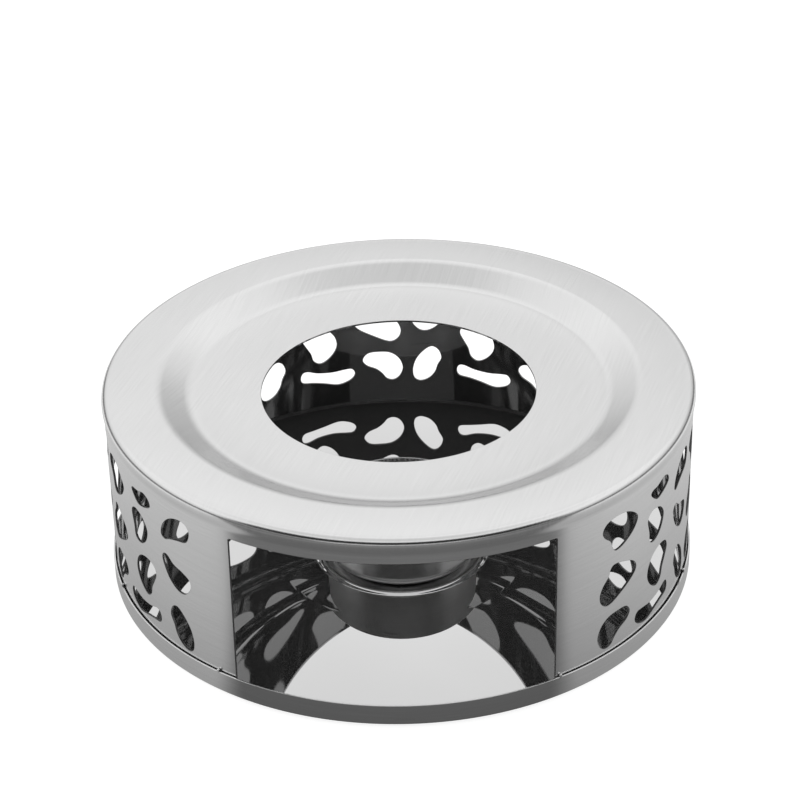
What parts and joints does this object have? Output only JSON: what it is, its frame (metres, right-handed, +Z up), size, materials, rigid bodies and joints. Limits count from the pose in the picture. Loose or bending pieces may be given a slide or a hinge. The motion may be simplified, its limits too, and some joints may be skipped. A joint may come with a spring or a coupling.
{
  "type": "teapot warmer",
  "caption": "Round stainless teapot warmer: pierced drum with a stepped pot rest, a centre opening and a front window, on a pressed base tray with a loose candle cup.",
  "frame": {"origin": "middle of the round footprint, on the surface that it stands on", "axes": "+Z up, the front window faces -Y, +X to the right of someone who looks into the window"},
  "size_m": [0.1564, 0.1564, 0.0555],
  "materials": {
    "shell_steel": "satin brushed outside, polished inside",
    "base_steel": "satin brushed flange, mirror polished floor",
    "cup_steel": "satin outside, polished inside"
  },
  "bodies": {
    "root": {"shell": "shell_steel", "base": "base_steel", "candle_cup": "cup_steel"}
  },
  "joints": []
}
